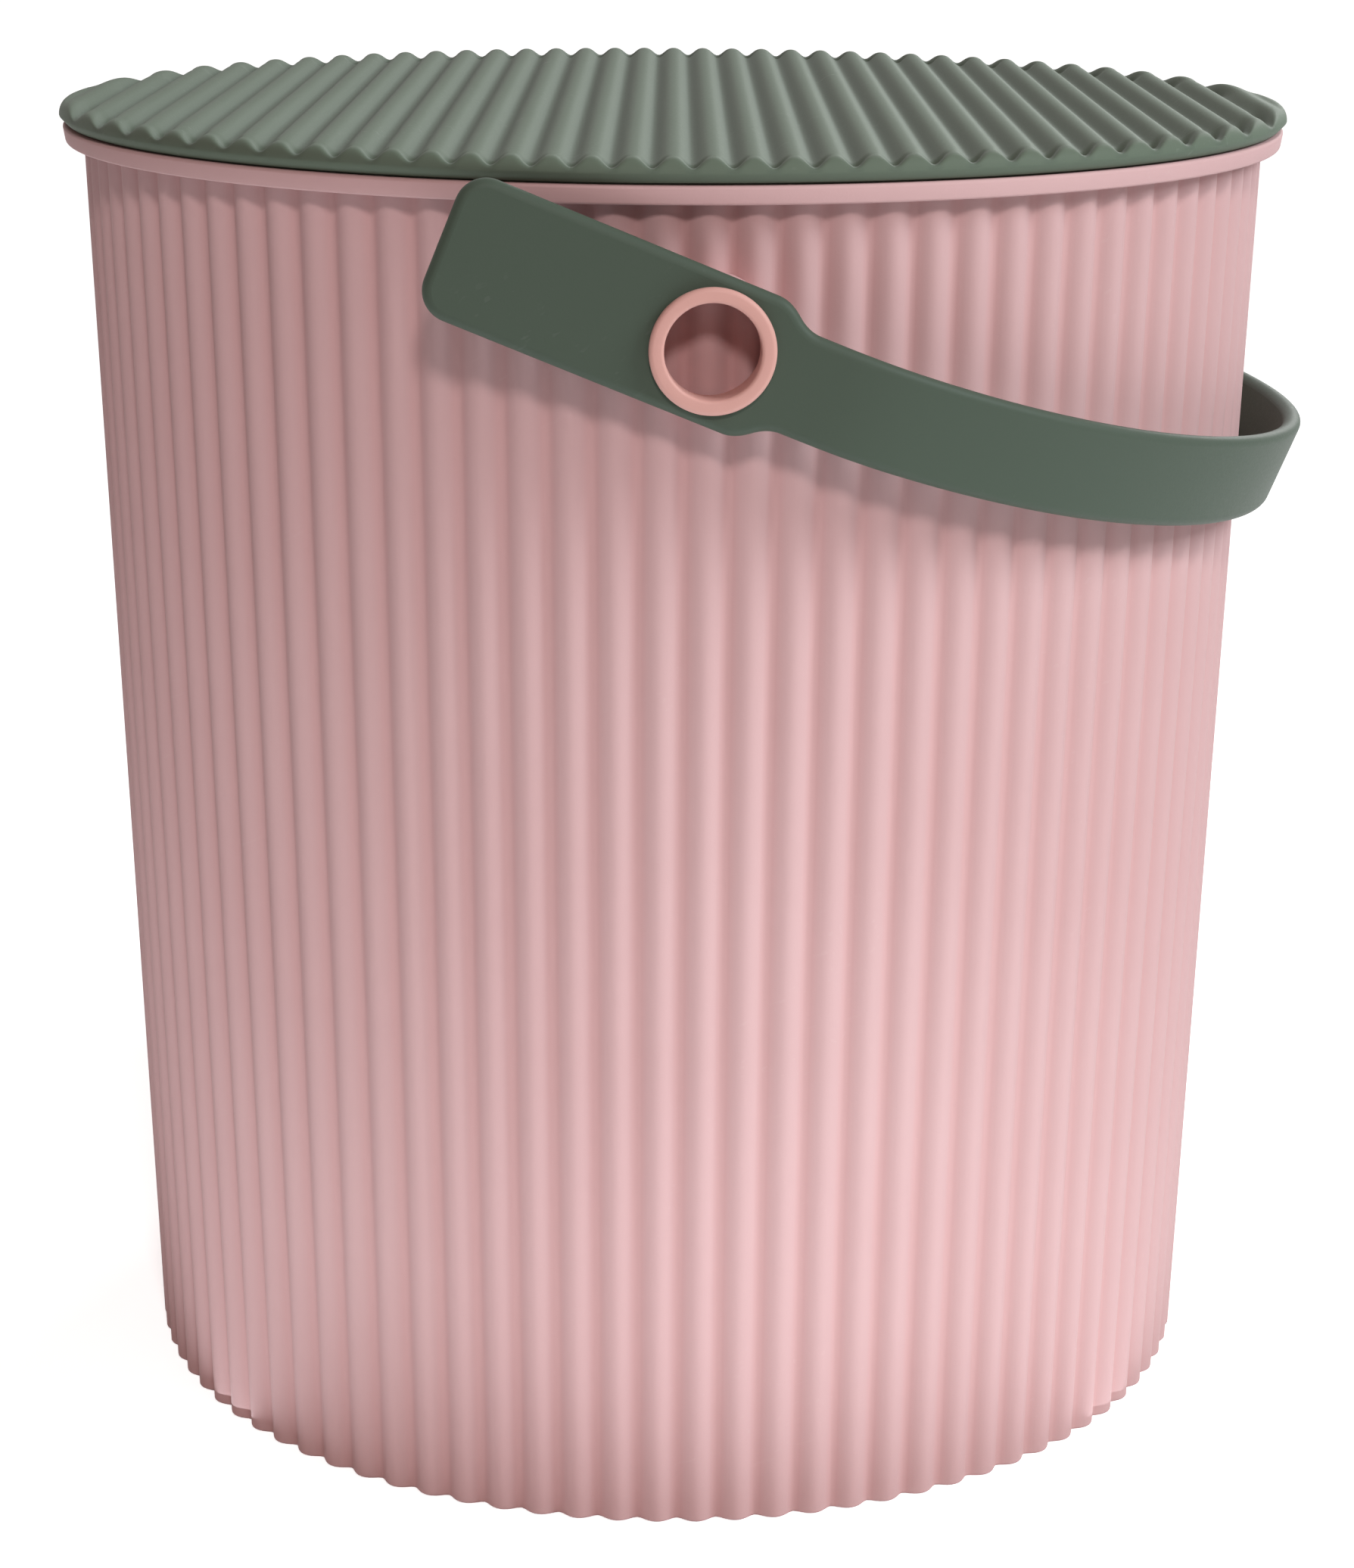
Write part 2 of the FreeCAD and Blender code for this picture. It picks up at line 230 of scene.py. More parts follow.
def shade(mesh: bpy.types.Mesh) -> None:
    """Smooth shading that breaks at edges sharper than the crease angle."""
    mesh.shade_smooth()
    mesh.set_sharp_from_angle(angle=CREASE)


def piece(name: str, surface: Surface, finish: bpy.types.Material, body: Body,
          nodes: Sequence[str] = ()) -> bpy.types.Object:
    """Makes a piece of the bucket out of a surface.

    Args:
        name: the piece's name.
        surface: its shape.
        finish: its material.
        body: the body that it moves with.
        nodes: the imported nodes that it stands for.

    Returns:
        The piece, at the origin and unturned.
    """
    mesh = bpy.data.meshes.new(name)
    surface.turn_outward()
    faces = [face for part in surface.faces for face in part.tolist()]
    mesh.from_pydata(surface.points.tolist(), [], faces)
    for mark, values in surface.marks.items():
        attribute = mesh.attributes.new(mark, "FLOAT", "POINT")
        attribute.data.foreach_set("value", values.astype(np.float32))
    mesh.validate()
    shade(mesh)
    item = bpy.data.objects.new(name, mesh)
    bpy.context.scene.collection.objects.link(item)
    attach(item, body.value)
    if nodes:
        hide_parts(*nodes)
    mesh.materials.append(finish)
    LOG.info("%s: %d triangles on %s", name, len(surface.triangles()), body.value)
    return item


# Nodes shared by the finishes

class Nodes:
    """Places and joins the nodes of one tree."""

    def __init__(self, tree: bpy.types.NodeTree) -> None:
        """Starts on an empty tree."""
        self.tree = tree
        self.tree.nodes.clear()

    def add(self, kind: str, feeds: Mapping[str | int, Any] | None = None,
            **settings: Any) -> bpy.types.Node:
        """Places a node.

        Args:
            kind: the node's type without its ShaderNode prefix.
            feeds: for an input's name or number, the socket that feeds it or its plain value.
            **settings: the node's own properties.

        Returns:
            The node.
        """
        node = self.tree.nodes.new(kind if kind.startswith("Node") else f"ShaderNode{kind}")
        for name, value in settings.items():
            setattr(node, name, value)
        for key, value in (feeds or {}).items():
            if isinstance(value, bpy.types.NodeSocket):
                self.tree.links.new(value, node.inputs[key])
            else:
                node.inputs[key].default_value = value
        return node

    def math(self, operation: str, *values: Any) -> bpy.types.NodeSocket:
        """One sum of a Math node, of sockets or plain numbers."""
        return self.add("Math", dict(enumerate(values)), operation=operation).outputs[0]

    def blend(self, factor: Any, first: Any, second: Any) -> bpy.types.NodeSocket:
        """Two colours blended by a factor."""
        return self.add("Mix", {0: factor, 6: first, 7: second}, data_type="RGBA").outputs[2]

    def ramp(self, value: Any, low: float, high: float, start: float = 0.0,
             end: float = 1.0) -> bpy.types.NodeSocket:
        """A value mapped from low..high onto start..end, held inside it and eased at both ends."""
        feeds = {0: value, 1: low, 2: high, 3: start, 4: end}
        return self.add("MapRange", feeds, interpolation_type="SMOOTHSTEP").outputs[0]

    def noise(self, vector: Any, scale: Any, detail: float = 2.0,
              roughness: float = 0.5) -> bpy.types.NodeSocket:
        """The value of a noise texture."""
        feeds = {"Vector": vector, "Scale": scale, "Detail": detail, "Roughness": roughness}
        return self.add("TexNoise", feeds).outputs[0]


class Effect(Enum):
    """Effects that more than one finish uses, each one shader node group."""

    GRAIN = "moulded_grain"
    DRIFT = "tone_drift"
    # painted shade in the grooves
    GROOVE = "groove_shade"
    MARKS = "handling_marks"
    SPECKS = "settled_specks"


class EffectKit:
    """Builds the shared node groups once and places them in finishes."""

    def __init__(self) -> None:
        """Builds every group."""
        self.groups: dict[Effect, bpy.types.NodeTree] = {}
        self.grain()
        self.drift()
        self.groove()
        self.marks()
        self.specks()

    def begin(self, effect: Effect, inputs: Mapping[str, tuple[str, Any]],
              output: tuple[str, str]) -> tuple[Nodes, bpy.types.NodeOutputs, bpy.types.NodeSocket]:
        """Starts a group.

        Args:
            effect: which one.
            inputs: for each input, its socket type and its value, or none where every finish feeds it.
            output: name and socket type of what it puts out.

        Returns:
            The tree's nodes, the sockets of its inputs and the socket that takes its result.
        """
        tree = bpy.data.node_groups.new(effect.value, "ShaderNodeTree")
        for name, (kind, value) in inputs.items():
            socket = tree.interface.new_socket(name, in_out="INPUT", socket_type=f"NodeSocket{kind}")
            if value is not None:
                socket.default_value = value
        tree.interface.new_socket(output[0], in_out="OUTPUT", socket_type=f"NodeSocket{output[1]}")
        nodes = Nodes(tree)
        taken, given = nodes.add("NodeGroupInput"), nodes.add("NodeGroupOutput")
        self.groups[effect] = tree
        return nodes, taken.outputs, given.inputs[0]

    def place(self, nodes: Nodes, effect: Effect, feeds: Mapping[str, Any]) -> bpy.types.NodeSocket:
        """Places a group in a finish and gives the socket of its result."""
        return nodes.add("Group", feeds, node_tree=self.groups[effect]).outputs[0]

    def grain(self) -> None:
        """The fine eroded grain of a mould: soft noise with small round pits in it."""
        inputs = {"Vector": ("Vector", None), "Scale": ("Float", None)}
        nodes, given, result = self.begin(Effect.GRAIN, inputs, ("Height", "Float"))
        soft = nodes.noise(given["Vector"], given["Scale"], detail=3.0, roughness=0.6)
        finer = nodes.math("MULTIPLY", given["Scale"], 1.6)
        feeds = {"Vector": given["Vector"], "Scale": finer}
        pits = nodes.add("TexVoronoi", feeds, feature="SMOOTH_F1").outputs["Distance"]
        nodes.tree.links.new(nodes.math("MULTIPLY_ADD", pits, 0.35, soft), result)

    def drift(self) -> None:
        """Slow changes of tone across a moulding, broad clouds with weaker small ones."""
        inputs = {"Vector": ("Vector", None), "Colour": ("Color", None), "Scale": ("Float", 9.0),
                  "Amount": ("Float", None)}
        nodes, given, result = self.begin(Effect.DRIFT, inputs, ("Colour", "Color"))
        clouds = nodes.noise(given["Vector"], given["Scale"], detail=4.0, roughness=0.45)
        reach = nodes.math("MULTIPLY", given["Amount"], 4.0)
        swing = nodes.math("MULTIPLY", nodes.math("SUBTRACT", clouds, 0.5), reach)
        feeds = {"Color": given["Colour"], "Value": nodes.math("ADD", swing, 1.0),
                 "Saturation": nodes.math("SUBTRACT", 1.0, swing)}
        nodes.tree.links.new(nodes.add("HueSaturation", feeds).outputs[0], result)

    def groove(self) -> None:
        """Painted shade: a darker colour towards the bottom of a groove, told by the valley mark of the
        surface.
        """
        inputs = {"Colour": ("Color", None), "Deep": ("Color", None), "Valley": ("Float", None),
                  "Amount": ("Float", None)}
        nodes, given, result = self.begin(Effect.GROOVE, inputs, ("Colour", "Color"))
        depth = nodes.math("MULTIPLY", nodes.ramp(given["Valley"], low=0.35, high=1.0), given["Amount"])
        nodes.tree.links.new(nodes.blend(depth, given["Colour"], given["Deep"]), result)

    def marks(self) -> None:
        """Fine scratches from handling: noise drawn out along one direction, kept to a few patches."""
        inputs = {"Vector": ("Vector", None), "Turn": ("Vector", None), "Fineness": ("Float", 700.0)}
        nodes, given, result = self.begin(Effect.MARKS, inputs, ("Mask", "Float"))
        laid = nodes.add("Mapping", {"Vector": given["Vector"], "Rotation": given["Turn"]}).outputs[0]
        fine = given["Fineness"]
        stretch = nodes.add("CombineXYZ", {0: 9.0, 1: fine, 2: fine}).outputs[0]
        drawn = nodes.add("VectorMath", {0: laid, 1: stretch}, operation="MULTIPLY").outputs[0]
        lines = nodes.ramp(nodes.noise(drawn, scale=1.0, detail=1.0), low=0.66, high=0.76)
        patches = nodes.ramp(nodes.noise(given["Vector"], scale=22.0), low=0.5, high=0.68)
        nodes.tree.links.new(nodes.math("MULTIPLY", lines, patches), result)

    def specks(self) -> None:
        """Specks of dust: small round dots in a few of the cells of a cell pattern."""
        inputs = {"Vector": ("Vector", None), "Scale": ("Float", 120.0), "Share": ("Float", None),
                  "Size": ("Float", 0.06)}
        nodes, given, result = self.begin(Effect.SPECKS, inputs, ("Mask", "Float"))
        cells = nodes.add("TexVoronoi", {"Vector": given["Vector"], "Scale": given["Scale"]})
        drawn = nodes.add("SeparateColor", {0: cells.outputs["Color"]}).outputs[0]
        chosen = nodes.math("LESS_THAN", drawn, given["Share"])
        dot = nodes.math("LESS_THAN", cells.outputs["Distance"], given["Size"])
        nodes.tree.links.new(nodes.math("MULTIPLY", chosen, dot), result)


@dataclass(frozen=True)
class PlasticFinish:
    """A satin moulded plastic."""

    name: str
    colour: Triple  # its colour, linear
    deep: Triple  # colour of the painted shade at the bottom of grooves, linear
    deepening: float = 0.35  # how far the painted shade darkens the grooves
    roughness: float = 0.5  # of the clean surface
    roughness_swing: float = 0.04  # how far the grain takes the roughness up and down
    gloss: float = 0.5  # specular level of the surface
    grain_scale: float = 1400.0  # cells of mould grain in a metre
    grain_height: float = 0.02 * MM  # height of the grain
    drift: float = 0.03  # share by which the tone wanders
    marks_turn: Triple = (0.4, 0.3, 0.6)  # how the marks run, radians about X, Y, Z
    marks_tone: float = 0.02  # how far the marks lighten the colour
    marks_polish: float = 0.12  # how much smoother the marks are
    marks_colour: Triple = (0.9, 0.9, 0.88)  # colour that the marks lighten to, linear
    speck_share: float = 0.003  # share of speck cells that hold one
    speck_colour: Triple = (0.8, 0.8, 0.78)  # colour of the specks, linear

    def material(self, kit: EffectKit) -> bpy.types.Material:
        """Builds the material.

        Args:
            kit: the shared effects.

        Returns:
            The material, which reads Object coordinates and the valley mark.
        """
        made = bpy.data.materials.new(self.name)
        made.use_nodes = True
        nodes = Nodes(made.node_tree)
        place = nodes.add("TexCoord").outputs["Object"]
        valley = nodes.add("Attribute", attribute_name="valley").outputs["Fac"]
        toned = kit.place(nodes, Effect.DRIFT, {
            "Vector": place, "Colour": (*self.colour, 1), "Amount": self.drift})
        # painted shade: grooves take a darker colour towards their bottoms
        shaded = kit.place(nodes, Effect.GROOVE, {
            "Colour": toned, "Deep": (*self.deep, 1), "Valley": valley, "Amount": self.deepening})
        marks = kit.place(nodes, Effect.MARKS, {"Vector": place, "Turn": self.marks_turn})
        rubbing = nodes.math("MULTIPLY", marks, self.marks_tone)
        rubbed = nodes.blend(rubbing, shaded, (*self.marks_colour, 1))
        specks = kit.place(nodes, Effect.SPECKS, {"Vector": place, "Share": self.speck_share})
        colour = nodes.blend(specks, rubbed, (*self.speck_colour, 1))
        grain = kit.place(nodes, Effect.GRAIN, {"Vector": place, "Scale": self.grain_scale})
        smooth, rough = self.roughness - self.roughness_swing, self.roughness + self.roughness_swing
        clean = nodes.ramp(grain, low=0.3, high=0.9, start=smooth, end=rough)
        worn = nodes.math("MULTIPLY_ADD", marks, -self.marks_polish, clean)
        bump = nodes.add("Bump", {"Height": grain, "Distance": self.grain_height, "Strength": 1.0})
        shader = nodes.add("BsdfPrincipled", {
            "Base Color": colour, "Roughness": worn, "Normal": bump.outputs[0],
            "Specular IOR Level": self.gloss, "IOR": 1.5})
        nodes.add("OutputMaterial", {"Surface": shader.outputs[0]})
        return made


PINK = PlasticFinish(
    "pink_satin_plastic", colour=(0.550, 0.350, 0.349), deep=(0.54, 0.29, 0.28), gloss=0.02)
RING_PINK = PlasticFinish(
    "ring_satin_plastic", colour=(0.575, 0.315, 0.278), deep=(0.53, 0.27, 0.24), roughness=0.42, gloss=0.15)
# the band's green is darker than the lid's green of the same plastic: the difference is painted shade on
# the band's front faces
BAND_GREEN = PlasticFinish(
    "band_green_plastic", colour=(0.058, 0.076, 0.057), deep=(0.05, 0.07, 0.05), gloss=0.12)
LID_GREEN = PlasticFinish(
    "lid_green_plastic", colour=(0.110, 0.136, 0.103), deep=(0.08, 0.10, 0.08), roughness=0.55, gloss=0.05)


# The tub

@dataclass
class Tub:
    """The ribbed tub: one shell with a flat rim, and the two collars that carry the pivot rings."""

    height: float  # top of the rim
    rim_outside: float  # radius of the rim
    collar_end: float  # distance of the collars' ends from the axis
    pivot_level: float  # level of the hinge line
    base_radius: float = 142.3 * MM  # rib crests at the floor
    mouth_radius: float = 151.1 * MM  # rib crests under the rim
    rib_count: int = 90
    rib_columns: int = 10  # grid columns to a rib
    rib_depth: float = 2.4 * MM  # crest to valley at the mouth
    rib_share: float = 0.6  # part of the pitch above half depth
    wall: float = 2.0 * MM  # thickness of the wall
    floor: float = 2.6 * MM  # thickness of the floor
    foot_round: float = 0.9 * MM  # rounding of the underside's edge
    foot_land: float = 9 * MM  # ring of the underside in which the ribs fade out
    bowl_round: float = 3 * MM  # rounding between wall and floor, inside
    bowl_land: float = 12 * MM  # ring of the floor in which the ribs fade out, inside
    pole_share: float = 0.2  # innermost ring of points, as a share of the floor's radius
    rim_flange: float = 2.2 * MM  # thickness of the rim
    rim_drop: float = 2.05 * MM  # how far the rim's lip hangs below it
    rim_lip: float = 2.0 * MM  # thickness of the lip
    rim_lean: float = 0.7 * MM  # how far the rim's face leans in at its foot
    rim_round: float = 0.7 * MM
    root_round: float = 0.5 * MM  # rounding where the wall meets the rim
    hollow_round: float = 0.4 * MM  # rounding behind the lip
    mouth_round: float = 0.6 * MM  # rounding of the rim's inner edge
    collar_bore: float = 12.55 * MM  # radius of the hole in a collar
    collar_radius: float = 15.4 * MM
    collar_round: float = 0.5 * MM
    collar_columns: int = 128

    def taper(self) -> float:
        """Outward run of the wall per unit of height."""
        return (self.mouth_radius - self.base_radius) / (self.height - self.rim_flange)

    def crest(self, level: np.ndarray | float) -> np.ndarray | float:
        """Radius of the rib crests at a level."""
        return self.base_radius + self.taper() * level

    def groove(self, angle: np.ndarray) -> np.ndarray:
        """Share of the rib depth at an angle: none on a crest, one of which lies on the hinge line."""
        return rounded_wave(self.rib_count * (angle / (2 * math.pi) + 0.25), self.rib_share)

    def section(self) -> tuple[np.ndarray, np.ndarray]:
        """The shell in section, from the underside's middle out, up, over the rim and down to the floor.

        Returns:
            Radius and level of each row, and how far the ribs show there.
        """
        under = self.height - self.rim_flange
        low = under - self.rim_drop
        lip, mouth = self.rim_outside - self.rim_lip, self.crest(self.height) - self.wall
        foot, bowl = self.base_radius, self.crest(self.floor) - self.wall
        corners = [
            (foot * self.pole_share, 0, 0, 0),
            (foot - self.foot_land, 0, 0, 0),
            (foot, 0, self.foot_round, 1),
            (self.mouth_radius, under, self.root_round, 1),
            (lip, under, self.hollow_round, 0),
            (lip, low, self.rim_round, 0),
            (self.rim_outside - self.rim_lean, low, self.rim_round, 0),
            (self.rim_outside, self.height, self.rim_round, 0),
            (mouth, self.height, self.mouth_round, 1),
            (bowl, self.floor, self.bowl_round, 1),
            (bowl - self.bowl_land, self.floor, 0, 0),
            (bowl * self.pole_share, self.floor, 0, 0),
        ]
        outline, owner = rounded_outline([corner[:3] for corner in corners])
        return outline, np.interp(owner, np.arange(len(corners)), [corner[3] for corner in corners])

    def shell(self) -> Surface:
        """The shell turned from its section: a row's radius shrinks by the ribs' share of depth there.

        Returns:
            The closed shell, with its valleys marked.
        """
        outline, shown = self.section()
        columns = self.rib_count * self.rib_columns
        angle = np.linspace(0, 2 * math.pi, columns, endpoint=False)
        groove = shown[:, None] * self.groove(angle)
        radius = outline[:, :1] * (1 - self.rib_depth / self.mouth_radius * groove)
        level = np.broadcast_to(outline[:, 1:], radius.shape)
        grid = np.stack([radius * np.cos(angle), radius * np.sin(angle), level], axis=-1).reshape(-1, 3)
        poles = np.array([[0, 0, 0], [0, 0, self.floor]])
        count = len(grid)
        faces = [wrapped_quads(len(outline), columns), fan(count, np.arange(columns))[:, ::-1],
                 fan(count + 1, np.arange(count - columns, count))]
        marks = {"valley": np.append(groove.ravel(), [0, 0])}
        return Surface(np.concatenate([grid, poles]), faces, marks)

    def collar(self, side: Side) -> Surface:
        """A collar: a tube round the hinge line whose root follows the middle of the ribbed wall.

        Args:
            side: which end of the hinge line.

        Returns:
            The closed tube.
        """
        turn = np.linspace(0, 2 * math.pi, self.collar_columns, endpoint=False)
        corners = [
            (self.collar_bore, 0, 0),
            (self.collar_bore, self.collar_end, self.collar_round),
            (self.collar_radius, self.collar_end, self.collar_round),
            (self.collar_radius, 0, 0),
        ]
        outline, owner = rounded_outline(corners, longest=self.height)
        across = outline[:, :1] * np.cos(turn)
        level = self.pivot_level + outline[:, :1] * np.sin(turn)
        middle = self.crest(level) - self.wall / 2
        angle = np.arctan2(-np.sqrt(middle ** 2 - across ** 2), across)
        middle = middle * (1 - self.rib_depth / self.mouth_radius * self.groove(angle))
        root = np.sqrt(middle ** 2 - across ** 2)
        at_root = np.isin(owner, (0, len(corners) - 1))
        reach = np.where(at_root[:, None], root, outline[:, 1:])
        grid = np.stack([across, side.value * reach, level], axis=-1).reshape(-1, 3)
        return Surface(grid, [wrapped_quads(*across.shape, ring=True)])

    def build(self, finish: bpy.types.Material) -> None:
        """Makes the shell and the collars."""
        piece("tub_shell", self.shell(), finish, Body.TUB, ["tub"])
        for side in Side:
            piece(f"{side.name.lower()}_collar", self.collar(side), finish, Body.TUB)


# The pivot rings

@dataclass
class PivotRing:
    """A sleeve that the handle's arm turns on, under a flange with a rounded edge."""

    side: Side  # which end of the hinge line it sits on
    hinge_level: float  # level of the hinge line
    root: float  # distance of the sleeve's inner end from the middle plane
    face: float  # distance of the flange's face from the middle plane
    hole: float = 10.65 * MM  # radius of the hole at the face
    sleeve: float = 12.5 * MM  # radius of the sleeve
    flange: float = 14.0 * MM  # radius of the flange
    flange_thickness: float = 2.2 * MM
    bore_length: float = 6.5 * MM  # length of the hole before it widens
    sleeve_wall: float = 0.7 * MM  # wall of the sleeve where the hole is wide
    sleeve_round: float = 0.15 * MM  # rounding where the sleeve meets the flange
    back_round: float = 0.5 * MM  # rounding of the flange's edge towards the arm
    face_round: float = 1.1 * MM  # rounding of the flange's outer edge
    hole_round: float = 0.8 * MM  # rounding of the hole's edge
    step_round: float = 0.3 * MM  # rounding of the step where the hole widens
    columns: int = 160  # grid columns round the ring

    def surface(self) -> Surface:
        """The ring turned about the hinge line from its rounded section.

        Returns:
            The closed ring.
        """
        under, step = self.face - self.flange_thickness, self.face - self.bore_length
        wide = self.sleeve - self.sleeve_wall
        corners = [
            (self.sleeve, self.root, 0),
            (self.sleeve, under, self.sleeve_round),
            (self.flange, under, self.back_round),
            (self.flange, self.face, self.face_round),
            (self.hole, self.face, self.hole_round),
            (self.hole, step, self.step_round),
            (wide, step, self.step_round),
            (wide, self.root, 0),
        ]
        outline, _ = rounded_outline(corners, steps=7, longest=4 * MM)
        turn = np.linspace(0, 2 * math.pi, self.columns, endpoint=False)
        across, rise = outline[:, :1] * np.cos(turn), outline[:, :1] * np.sin(turn)
        reach = np.broadcast_to(self.side.value * outline[:, 1:], across.shape)
        grid = np.stack([across, reach, self.hinge_level + rise], axis=-1).reshape(-1, 3)
        return Surface(grid, [wrapped_quads(*across.shape, ring=True)])

    def build(self, finish: bpy.types.Material) -> None:
        """Makes the ring."""
        name = f"{self.side.name.lower()}_pivot_ring"
        piece(f"{name}_moulding", self.surface(), finish, Body.TUB, [name])


# The handle

@dataclass
class BandHandle:
    """A U-shaped band: broad rounded tails, S-shaped shoulders, and a bow that rises gently.

    The band is laid out flat as a closed outline of along and up, with rounded edges, and then bent
    along the U seen from above.
    """

    hinge_level: float  # level of the hinge line
    arm_outside: float  # distance of the arms' outer faces from the middle plane
    bow_inside: float = 163.2 * MM  # radius of the bow's inner face
    rest_tilt: float = math.radians(22.32)  # how far the bow hangs down at rest
    thickness: float = 4.4 * MM
    bend_radius: float = 60 * MM  # inner radius of the bends between arms and bow
    tail_length: float = 63.5 * MM  # from the hinge line to the end of a tail
    tail_corner: float = 7.0 * MM  # rounding of a tail's corners
    tail_half: float = 16.3 * MM  # half the width of a tail
    bow_half: float = 11.5 * MM  # half the width of the bow
    shoulder_start: float = 9 * MM  # from the hinge line to where the band starts to narrow
    shoulder_length: float = 12 * MM  # length over which the band narrows
    bow_rise: float = 15.3 * MM  # rise of the bow's middle over the arms
    eye_radius: float = 12.58 * MM
    eye_columns: int = 128  # sides of the round cutter that makes the eyes
    edge_round: float = 2.1 * MM
    edge_steps: int = 8  # rows of points on a quarter of the rounding
    face_columns: int = 9  # points across a face of the band, with those on its borders
    tail_stations: int = 14
    arm_stations: int = 24
    shoulder_stations: int = 17
    bow_stations: int = 80

    def rise(self, along: np.ndarray) -> np.ndarray:
        """Lift of the band's middle line: an arc that starts level at the end of the shoulder.

        Args:
            along: distance from the hinge line in plan.

        Returns:
            The lift at each distance.
        """
        start = self.shoulder_start + self.shoulder_length
        run = self.bow_inside + self.thickness - start
        sweep = (run ** 2 + self.bow_rise ** 2) / (2 * self.bow_rise)
        return sweep - np.sqrt(sweep ** 2 - np.clip(along - start, 0, None) ** 2)

    def half_width(self, along: np.ndarray) -> np.ndarray:
        """Half of the band's width: quarter circles at the tail's corners, then an S of two parabolas.

        Args:
            along: distance from the hinge line in plan.

        Returns:
            Half the width at each distance.
        """
        share = np.clip((along - self.shoulder_start) / self.shoulder_length, 0, 1)
        step = np.where(share < 0.5, 2 * share ** 2, 1 - 2 * (1 - share) ** 2)
        width = self.tail_half + (self.bow_half - self.tail_half) * step
        into = np.clip(self.tail_corner - self.tail_length - along, 0, self.tail_corner)
        return width - self.tail_corner + np.sqrt(self.tail_corner ** 2 - into ** 2)

    def stations(self) -> np.ndarray:
        """Where the band has points along it, closer together on the tails' corners.

        Returns:
            Distances along the inner face from the hinge line, from the front tail to the bow's middle.
        """
        corner = np.linspace(0, math.pi / 2, self.tail_stations)
        tail = -self.tail_length + self.tail_corner * (1 - np.cos(corner))
        arm = np.linspace(tail[-1], self.shoulder_start, self.arm_stations)[1:]
        shoulder_end = self.shoulder_start + self.shoulder_length
        shoulder = np.linspace(arm[-1], shoulder_end, self.shoulder_stations)[1:]
        bow = np.linspace(shoulder[-1], self.middle(), self.bow_stations)[1:]
        return np.concatenate([tail, arm, shoulder, bow])

    def turn_in(self) -> float:
        """Where each arm starts to bend, so that the bend meets the bow's arc without a corner."""
        arm = self.arm_outside - self.thickness
        return math.sqrt((self.bow_inside - self.bend_radius) ** 2 - (arm - self.bend_radius) ** 2)

    def meet(self) -> float:
        """Angle of the bow's arc at which it meets the bend."""
        return math.atan2(self.arm_outside - self.thickness - self.bend_radius, self.turn_in())

    def middle(self) -> float:
        """Distance along the inner face from the hinge line to the middle of the bow."""
        bend = self.bend_radius * (math.pi / 2 - self.meet())
        return self.turn_in() + bend + self.bow_inside * self.meet()

    def bent(self, along: np.ndarray, depth: np.ndarray) -> tuple[np.ndarray, np.ndarray]:
        """Where the flat band lies in plan: a straight arm, a bend of one radius, then the bow's arc.

        Args:
            along: distance along the inner face from the hinge line.
            depth: distance outwards from the inner face.

        Returns:
            Distance from the hinge line and distance to the front of the middle plane.
        """
        arm, start, meet = self.arm_outside - self.thickness, self.turn_in(), self.meet()
        corner = math.pi / 2 - meet
        bend = np.clip((along - start) / self.bend_radius, 0, corner)
        past = np.clip(along - start - self.bend_radius * corner, 0, None) / self.bow_inside
        turn = np.where(past > 0, meet - past, math.pi / 2 - bend)
        reach = np.where(past > 0, self.bow_inside, self.bend_radius) + depth
        away = np.where(past > 0, 0, start) + reach * np.cos(turn)
        front = np.where(past > 0, 0, arm - self.bend_radius) + reach * np.sin(turn)
        straight = along < start
        return np.where(straight, along, away), np.where(straight, arm + depth, front)

    def edge(self) -> tuple[np.ndarray, np.ndarray]:
        """A rounded edge as two quarter circles, from the band's outer face round to its inner one.

        Returns:
            Inset from the outline and depth in the band of each row of points.
        """
        quarter = np.linspace(0, math.pi / 2, self.edge_steps)
        falling, rising = self.edge_round * (1 - np.sin(quarter)), self.edge_round * (1 - np.cos(quarter))
        return np.concatenate([falling, rising]), np.concatenate([self.thickness - rising, falling])

    def border(self, way: int, inset: np.ndarray) -> np.ndarray:
        """One border of the flat band, with rows that lie inside it, square to its slope.

        Args:
            way: 1 for the upper border, -1 for the lower one.
            inset: how far inside the outline each row lies.

        Returns:
            Along and up, each with a row per inset and a column per station.
        """
        front, full = self.stations(), 2 * self.middle()
        along = np.concatenate([front, full - front[-2::-1]])
        near = np.minimum(along, full - along)
        plain, _ = self.bent(near, np.zeros_like(near))
        line = self.rise(plain) + way * self.half_width(plain)
        slope = np.gradient(line, along)
        inward = way * np.stack([slope, -np.ones_like(along)]) / np.hypot(slope, 1)
        return np.stack([along, line])[:, None] + inset[:, None] * inward[:, None]

    def surface(self) -> Surface:
        """The bent band with rounded edges.

        Rows of points run round the outline, one for each step round the edge. Rungs of points across
        the band close its two faces.

        Returns:
            The closed band, tilted to its rest, without eyes.
        """
        inset, depth = self.edge()
        upper, lower = (self.border(way, inset) for way in (1, -1))
        loop = np.concatenate([upper, lower[:, :, ::-1]], axis=2)
        share = np.linspace(0, 1, self.face_columns)[1:-1, None]
        rungs = [upper[:, [row]] * (1 - share) + lower[:, [row]] * share for row in (0, -1)]
        flat = np.concatenate([part.reshape(2, -1) for part in (loop, *rungs)], axis=1)
        (rows, around), (inner, count) = loop.shape[1:], rungs[0].shape[1:]
        depths = np.repeat([*depth, self.thickness, 0], [around] * rows + [inner * count] * 2)
        first = rows * around
        loops = np.arange(first).reshape(rows, around)
        faces = [wrapped_quads(rows, around)]
        for row, turn in ((0, 1), (-1, -1)):
            rung = first + np.arange(inner * count).reshape(inner, count)
            table = np.concatenate([loops[[row], :count], rung, loops[[row], :count - 1:-1]])
            faces.append(quads(table)[:, ::turn])
            first += rung.size
        return Surface(self.placed(flat, depths), faces)

